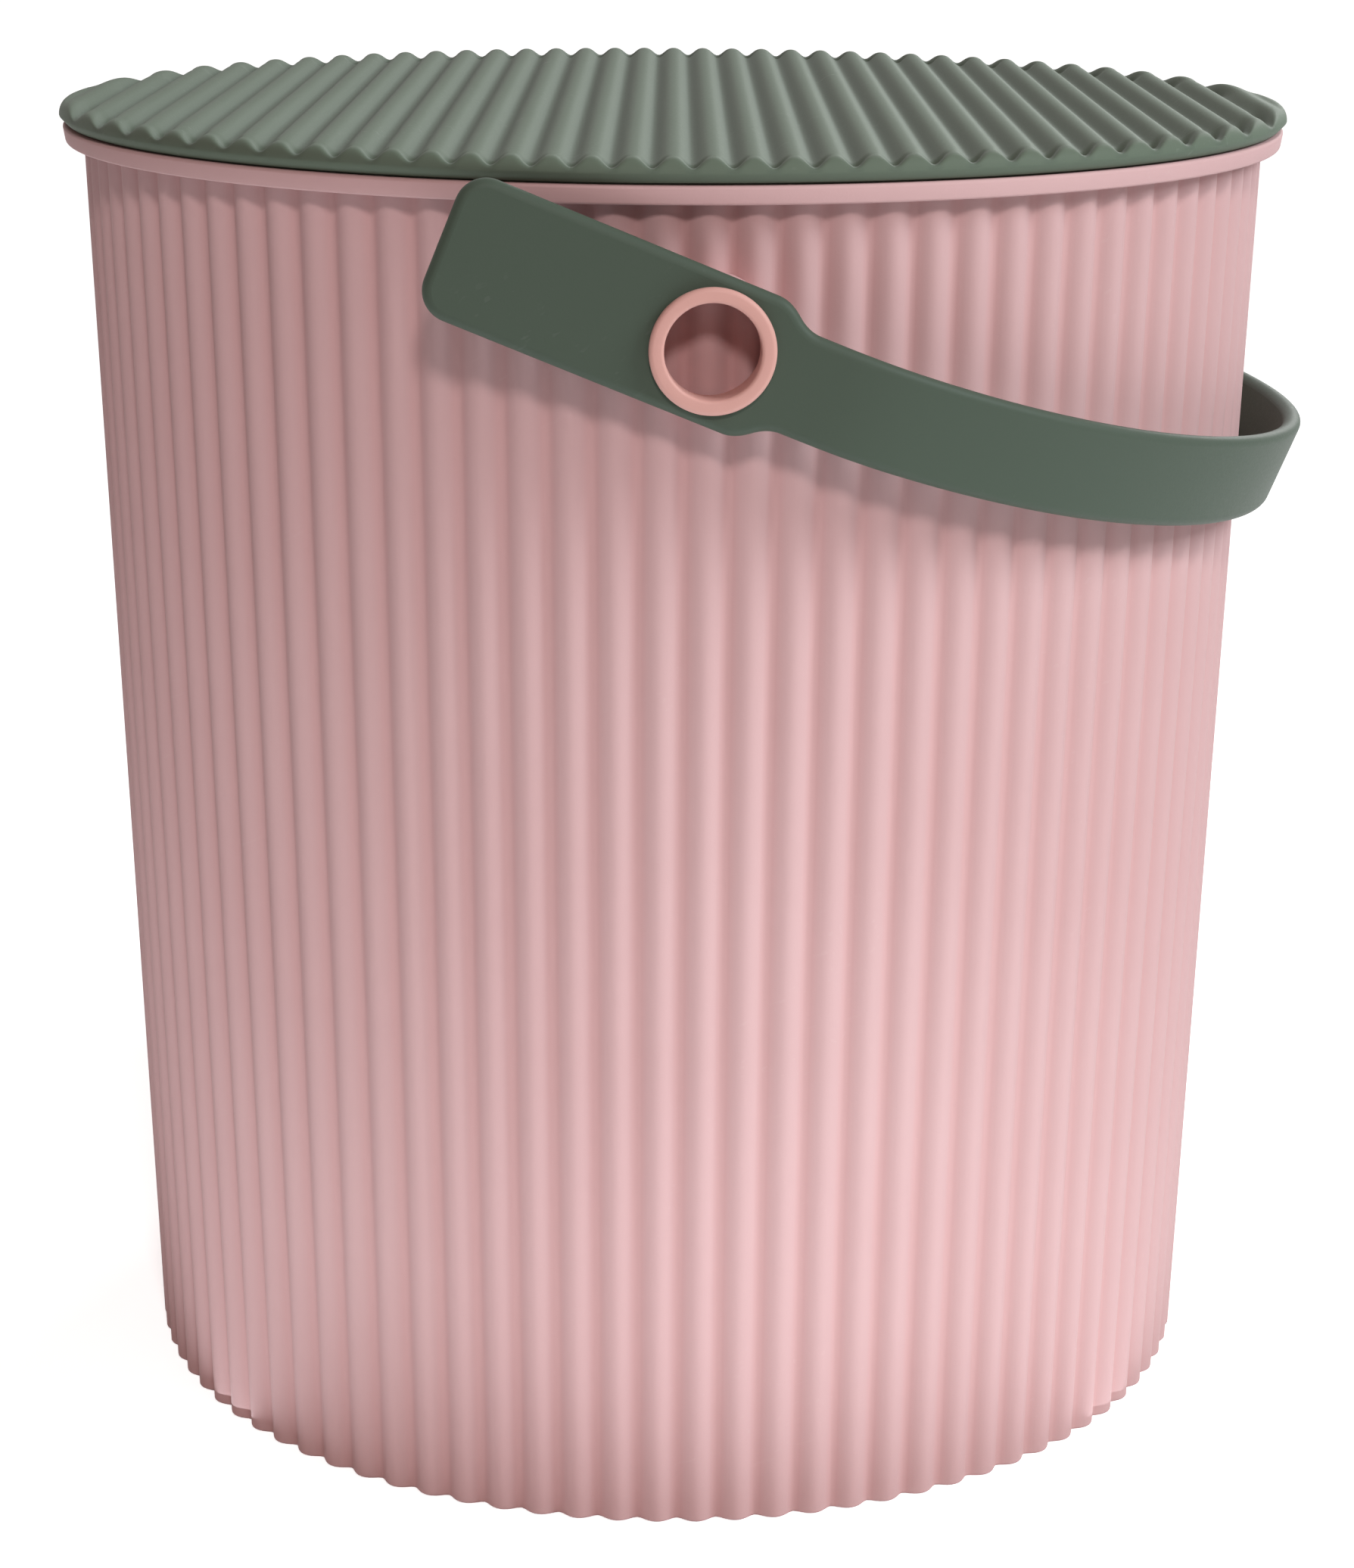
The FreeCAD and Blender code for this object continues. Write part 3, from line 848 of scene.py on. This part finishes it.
    def placed(self, flat: np.ndarray, depth: np.ndarray) -> np.ndarray:
        """Bends flat points along the U, follows the bow's rise at their own reach, and tilts them to rest.

        Args:
            flat: along and up of each point of the flat band.
            depth: how far outwards from the band's inner face each one lies.

        Returns:
            Their coordinates, one row per point.
        """
        full = 2 * self.middle()
        near = np.minimum(flat[0], full - flat[0])
        inside, _ = self.bent(near, np.zeros_like(near))
        away, front = self.bent(near, depth)
        up = flat[1] + self.rise(away) - self.rise(inside)
        across = np.where(flat[0] <= full / 2, -front, front)
        points = np.stack([away, across, up + self.hinge_level], axis=-1)
        return turned(points, self.rest_tilt, "Y", (0, 0, self.hinge_level))

    def build(self, finish: bpy.types.Material) -> None:
        """Makes the band and cuts its eyes.

        Args:
            finish: the band's material.
        """
        item = piece("handle_band", self.surface(), finish, Body.HANDLE, ["handle"])
        bpy.ops.mesh.primitive_cylinder_add(
            vertices=self.eye_columns, radius=self.eye_radius, depth=3 * self.arm_outside,
            location=(0, 0, self.hinge_level), rotation=(math.pi / 2, 0, 0))
        cutter = bpy.context.object
        cut = item.modifiers.new("eyes", "BOOLEAN")
        cut.operation, cut.solver, cut.object = "DIFFERENCE", "EXACT", cutter
        made = bpy.data.meshes.new_from_object(item.evaluated_get(bpy.context.evaluated_depsgraph_get()))
        item.modifiers.clear()
        item.data = made
        made.name = item.name
        bpy.data.objects.remove(cutter)
        shade(made)
        made.materials.clear()
        made.materials.append(finish)


# The lid

@dataclass
class CorrugatedLid:
    """A plate of straight rounded ridges cut to a round edge, with a locating skirt below.

    A ring of the surface is a polar grid. The round middles of its top and underside are grids of
    straight columns that end on the ring's own points.
    """

    outside: float  # radius of the edge
    top: float  # level of the crests
    skirt_foot: float  # level of the skirt's foot
    rim_level: float  # level of the rim that the lid rests on
    pitch: float = 8.83 * MM  # from crest to crest
    ridge_depth: float = 2.6 * MM  # crest to valley
    ridge_share: float = 0.55  # part of the pitch above half depth
    edge_round: float = 3.8 * MM  # radius of the rounded edge
    lip_blend: float = 1.1 * MM  # height over which ridges and edge blend
    shadow_gap: float = 0.5 * MM  # slit between the edge's foot and the rim
    undercut: float = 1.8 * MM  # how far the edge's foot lies in from the edge
    seat_land: float = 3.4 * MM  # from the edge in to the seat
    plate: float = 2.0 * MM  # thickness of the plate
    skirt_outside: float = 145.7 * MM  # radius of the skirt
    skirt_wall: float = 1.8 * MM
    skirt_round: float = 0.7 * MM  # rounding of the skirt's foot
    foot_round: float = 0.4 * MM  # rounding of the edge's foot
    root_round: float = 0.5 * MM  # rounding where the skirt leaves the seat
    bore_land: float = 1 * MM  # from the underside's valleys down to the last row inside the skirt
    pocket_inset: float = 6.5 * MM  # from the edge in to the middle of the pockets
    pocket_width: float = 2.0 * MM  # how far the pockets spread along the valleys
    pocket_depth: float = 1.4 * MM  # how deep the pockets are below the valleys
    last_crest: int = 17  # crest, counted from the middle one, past which the valleys fade
    end_fade: float = 0.65  # share of their depth that those valleys lose
    turn: float = -math.radians(3.1)  # how far the ridges are turned about Z
    columns: int = 1440  # grid columns round the ring
    flat_rows: int = 17  # grid rows from the bore to the rounded edge
    edge_rows: int = 13  # grid rows over the rounded edge
    disc_rows: int = 10  # grid rows along the columns of the round middles

    def wave(self, across: np.ndarray) -> np.ndarray:
        """Share of the ridge depth: a wave with a crest over the axis, weaker past the last full crest."""
        past = np.clip(2 * (np.abs(across) / self.pitch - self.last_crest), 0, 1)
        return rounded_wave(across / self.pitch, self.ridge_share) * (1 - self.end_fade * past)

    def surface_level(self, across: np.ndarray, radius: np.ndarray) -> np.ndarray:
        """Level of the top: ridges whose valleys end in shallow pockets, blended into the rounded edge.

        The pockets are bell curves about a circle, and the edge is a quarter circle. The lower one of
        ridges and edge counts, with a parabola between them over the height of the blend.

        Args:
            across: distance across the ridges.
            radius: distance from the axis.

        Returns:
            The level at each place.
        """
        from_pocket = (radius - self.outside + self.pocket_inset) / self.pocket_width
        pocket = self.pocket_depth * np.exp(-from_pocket ** 2)
        ridges = self.top - (self.ridge_depth + pocket) * self.wave(across)
        past = np.clip(radius - self.outside + self.edge_round, 0, self.edge_round)
        edge = self.top - self.edge_round + np.sqrt(self.edge_round ** 2 - past ** 2)
        share = np.clip(0.5 + 0.5 * (edge - ridges) / self.lip_blend, 0, 1)
        return edge + (ridges - edge) * share - self.lip_blend * share * (1 - share)

    def ring(self) -> tuple[np.ndarray, np.ndarray, np.ndarray]:
        """The ring outside the bore: over the top to the edge, down to the seat, and round the skirt.

        Returns:
            X, Y and Z grids with a row per step from the top's inner circle to the underside's.
        """
        angle = np.linspace(0, 2 * math.pi, self.columns, endpoint=False)
        bore = self.skirt_outside - self.skirt_wall
        shoulder = self.outside - self.edge_round
        flat = np.linspace(bore, shoulder, self.flat_rows)
        quarter = np.linspace(0, math.pi / 2, self.edge_rows)[1:]
        radius = np.concatenate([flat, shoulder + self.edge_round * np.sin(quarter)])
        top = self.surface_level(radius[:, None] * np.cos(angle), radius[:, None])
        foot, seat = self.rim_level + self.shadow_gap, self.outside - self.seat_land
        corners = [
            (self.outside, self.top - self.edge_round, 0),
            (self.outside - self.undercut, foot, self.foot_round),
            (seat, foot, 0),
            (seat, self.rim_level, 0),
            (self.skirt_outside, self.rim_level, self.root_round),
            (self.skirt_outside, self.skirt_foot, self.skirt_round),
            (bore, self.skirt_foot, self.skirt_round),
            (bore, self.top - self.ridge_depth - self.plate - self.bore_land, 0),
        ]
        outline, _ = rounded_outline(corners, steps=4)
        under = self.top - self.plate - self.ridge_depth * self.wave(bore * np.cos(angle))
        radii = np.concatenate([radius, outline[1:, 0], [bore]])[:, None]
        levels = np.concatenate([top, np.repeat(outline[1:, 1:], self.columns, axis=1), under[None]])
        return radii * np.cos(angle), radii * np.sin(angle), levels

    def disc(self, ring: np.ndarray, first: int) -> tuple[np.ndarray, list[np.ndarray]]:
        """A grid of straight columns inside a ring, each column ending on two of the ring's points.

        Args:
            ring: indices of the ring's points, the first at zero degrees.
            first: index of the first new point.

        Returns:
            Share of each new point along its column, one row per column, and the faces.
        """
        half, inner = self.columns // 2, self.disc_rows - 1
        share = np.broadcast_to(np.linspace(-1, 1, self.disc_rows + 1)[1:-1], (half - 1, inner))
        made = first + np.arange(share.size).reshape(share.shape)
        table = np.concatenate([ring[:half:-1, None], made, ring[1:half, None]], axis=1)
        ends = [np.stack([np.full(self.disc_rows, tip), line[1:], line[:-1]], axis=-1)[:, ::way]
                for tip, line, way in ((ring[0], table[0], 1), (ring[half], table[-1], -1))]
        return share, [quads(table), *ends]

    def surface(self) -> Surface:
        """The whole lid, turned to where its ridges lie.

        Returns:
            The closed lid, with its valleys marked on top.
        """
        x, y, z = self.ring()
        table = np.arange(x.size).reshape(x.shape)
        points = [np.stack([x, y, z], axis=-1).reshape(-1, 3)]
        faces = [wrapped_quads(*x.shape)]
        half, first = self.columns // 2, x.size
        for row, below in ((0, 0.0), (-1, self.plate)):
            share, cells = self.disc(table[row], first)
            across = np.repeat(x[row, 1:half, None], share.shape[1], axis=1)
            run = share * y[row, 1:half, None]
            level = self.surface_level(across, np.hypot(across, run)) - below
            points.append(np.stack([across, run, level], axis=-1).reshape(-1, 3))
            faces += [cell if below else cell[:, ::-1] for cell in cells]
            first += share.size
        every = np.concatenate(points)
        valley = self.wave(every[:, 0]) * (every[:, 2] > self.top - self.ridge_depth - self.plate / 2)
        return Surface(turned(every, self.turn, "Z"), faces, {"valley": valley})

    def build(self, finish: bpy.types.Material) -> None:
        """Makes the lid."""
        piece("lid_plate", self.surface(), finish, Body.LID, ["lid"])


# Studio

@dataclass(frozen=True)
class Lamp:
    """A soft square lamp that the camera doesn't see."""

    name: str
    place: Sequence[float]  # where it stands
    aim: Sequence[float]  # what it points at
    power: float  # watts
    side: float  # width and height of the square
    tint: Triple = (1, 1, 1)  # colour of its light

    def axes(self) -> np.ndarray:
        """The lamp's axes as columns, its own +Z pointing away from its aim.

        Returns:
            The three columns. A lamp that points straight up or down keeps its X along the world's.
        """
        back = np.subtract(self.place, self.aim)
        back = back / np.linalg.norm(back)
        right = np.cross((0, 0, 1), back)
        level = np.linalg.norm(right)
        right = right / level if level > 0 else np.array([1.0, 0.0, 0.0])
        return np.stack([right, np.cross(back, right), back], axis=1)

    def build(self) -> None:
        """Places the lamp."""
        data = bpy.data.lights.new(self.name, "AREA")
        data.shape, data.size = "SQUARE", self.side
        data.energy, data.color = self.power, self.tint
        item = bpy.data.objects.new(self.name, data)
        item.matrix_world = Matrix.Translation(self.place) @ Matrix(self.axes().tolist()).to_4x4()
        item.visible_camera = False
        bpy.context.scene.collection.objects.link(item)


def seen_white(nodes: Nodes) -> bpy.types.NodeSocket:
    """One for rays from the camera, off a glossy surface or through glass, which see plain white.

    Args:
        nodes: the tree of the floor or the world.

    Returns:
        The socket of the mask.
    """
    path = nodes.add("LightPath").outputs
    shown = nodes.math("MAXIMUM", path["Is Camera Ray"], path["Is Glossy Ray"])
    return nodes.math("MAXIMUM", shown, path["Is Transmission Ray"])


SOFTBOXES = (
    Lamp("right_softbox", (1.55, -0.69, 1.4), (0, 0, 0.22), power=34, side=0.9, tint=(0.92, 1.05, 1.09)),
    Lamp("back_softbox", (0.9, 1.5, 1.0), (0, 0, 0.2), power=9, side=0.8),
    Lamp("front_softbox", (0.05, -1.55, 1.2), (0, 0, 0.25), power=11, side=0.2, tint=(1.0, 0.92, 0.9)),
)


@dataclass
class Studio:
    """The pale floor, the soft lights and the camera at the photograph's viewing angle.

    The camera stands on a circle round the bucket's axis and looks slightly down. Small upward lamps
    on the floor, in front of the bucket, stand in for light that a broad white sheet throws back.
    """

    focal_pixels: float = 4542.6  # focal length in pixels of the photograph
    distance: float = 905.1 * MM  # from the axis to the camera
    camera_level: float = 414.9 * MM  # the camera above the floor
    around: float = math.radians(3.1)  # how far the camera stands round from the front
    pitch: float = math.radians(16.408)  # how far the camera looks down
    roll: float = math.radians(0.341)  # how far it is turned about its line of sight
    yaw: float = math.radians(0.128)  # how far it looks to one side of the axis
    sensor: float = 36.0  # width of its sensor in millimetres
    floor_half: float = 14.0  # half the width of the floor
    floor_colour: float = 0.85  # grey level of the floor at the bucket
    far_floor_colour: float = 0.25  # grey level of the floor far out
    floor_glow: float = 0.7  # how brightly the floor at the bucket is shown
    sheet_reach: tuple[float, float] = (0.5, 1.1)  # where the floor turns from near to far
    world_light: Triple = (0.27, 0.21, 0.195)  # colour and level of the light from all round
    card_powers: tuple[tuple[float, float], ...] = ((-50, 0.30), (0, 0.43), (48, 0.19))  # degrees, watts
    card_reach: float = 0.33  # distance of the floor's lamps from the axis
    card_level: float = 3 * MM  # their height above the floor
    card_side: float = 0.28  # width of each
    card_tint: Triple = (0.92, 1.08, 1.14)  # colour of their light

    def camera(self) -> None:
        """Places the camera from its measured place and hold."""
        data = bpy.data.cameras.new("camera")
        data.sensor_fit, data.sensor_width = "AUTO", self.sensor
        data.lens = self.focal_pixels * self.sensor / max(PHOTO_WIDTH, PHOTO_HEIGHT)
        level, lean = math.cos(self.pitch), math.sin(self.pitch)
        right = np.array([math.cos(self.yaw), -math.sin(self.yaw), 0])
        ahead = np.array([math.sin(self.yaw) * level, math.cos(self.yaw) * level, -lean])
        up = np.cross(right, ahead)
        axes = np.stack([math.cos(self.roll) * right + math.sin(self.roll) * up,
                         math.cos(self.roll) * up - math.sin(self.roll) * right, -ahead], axis=1)
        hold = Matrix(axes.tolist()).to_4x4()
        hold.translation = (0, -self.distance, self.camera_level)
        item = bpy.data.objects.new("camera", data)
        item.matrix_world = Matrix.Rotation(-self.around, 4, "Z") @ hold
        bpy.context.scene.collection.objects.link(item)
        bpy.context.scene.camera = item

    def floor_cards(self) -> list[Lamp]:
        """The lamps on the floor, each pointing straight up.

        Returns:
            The lamps, from left to right.
        """
        cards = []
        for degrees, power in self.card_powers:
            start = np.array([0, -self.card_reach, self.card_level])
            spot = turned(start, math.radians(degrees), "Z")
            above = spot + (0, 0, 1)
            cards.append(Lamp(f"floor_card_{degrees}", spot, above, power, self.card_side, self.card_tint))
        return cards

    def floor(self) -> None:
        """A pale floor that shows white and keeps the bucket's shadow."""
        mesh = bpy.data.meshes.new("studio_floor")
        edge = self.floor_half
        corners = [(-edge, -edge, 0), (edge, -edge, 0), (edge, edge, 0), (-edge, edge, 0)]
        mesh.from_pydata(corners, [], [(0, 1, 2, 3)])
        item = bpy.data.objects.new("studio_floor", mesh)
        bpy.context.scene.collection.objects.link(item)
        made = bpy.data.materials.new("pale_floor")
        made.use_nodes = True
        nodes = Nodes(made.node_tree)
        place = nodes.add("TexCoord").outputs["Object"]
        reach = nodes.add("VectorMath", {0: place}, operation="LENGTH").outputs["Value"]
        colours = [(level,) * 3 + (1,) for level in (self.floor_colour, self.far_floor_colour)]
        glow = nodes.ramp(reach, *self.sheet_reach, self.floor_glow, 1.0)
        shader = nodes.add("BsdfPrincipled", {
            "Base Color": nodes.blend(nodes.ramp(reach, *self.sheet_reach), *colours), "Roughness": 0.9,
            "Specular IOR Level": 0.0, "Emission Color": (1, 1, 1, 1),
            "Emission Strength": nodes.math("MULTIPLY", seen_white(nodes), glow)})
        nodes.add("OutputMaterial", {"Surface": shader.outputs[0]})
        mesh.materials.append(made)

    def world(self) -> None:
        """White where it is seen, a soft plain light otherwise."""
        made = bpy.data.worlds.new("studio")
        made.use_nodes = True
        nodes = Nodes(made.node_tree)
        colour = nodes.blend(seen_white(nodes), (*self.world_light, 1), (1, 1, 1, 1))
        glow = nodes.add("Background", {"Color": colour})
        nodes.add("OutputWorld", {"Surface": glow.outputs[0]})
        bpy.context.scene.world = made

    def build(self) -> None:
        """Sets up the whole studio."""
        self.camera()
        self.floor()
        self.world()
        for lamp in (*SOFTBOXES, *self.floor_cards()):
            lamp.build()
        bpy.context.scene.view_settings.view_transform = "Standard"


def main() -> None:
    """Builds the bucket's pieces in order and the studio round them."""
    logging.basicConfig(level=logging.INFO, format="%(name)s %(message)s")
    hinge = next(joint for joint in frame["joints"] if joint["name"] == "handle_swing")
    pivot = hinge["pos_m"][2]
    tub_high, handle_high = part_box("tub")[1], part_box("handle")[1]
    ring_low, ring_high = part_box("back_pivot_ring")
    lid_low, lid_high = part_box("lid")
    kit = EffectKit()
    tub = Tub(height=tub_high.z, rim_outside=tub_high.x, collar_end=tub_high.y, pivot_level=pivot)
    tub.build(PINK.material(kit))
    ring_finish = RING_PINK.material(kit)
    for side in Side:
        PivotRing(side, hinge_level=pivot, root=ring_low.y, face=ring_high.y).build(ring_finish)
    BandHandle(hinge_level=pivot, arm_outside=handle_high.y).build(BAND_GREEN.material(kit))
    lid = CorrugatedLid(outside=lid_high.x, top=lid_high.z, skirt_foot=lid_low.z, rim_level=tub_high.z)
    lid.build(LID_GREEN.material(kit))
    Studio().build()


if __name__ == "__main__":
    main()
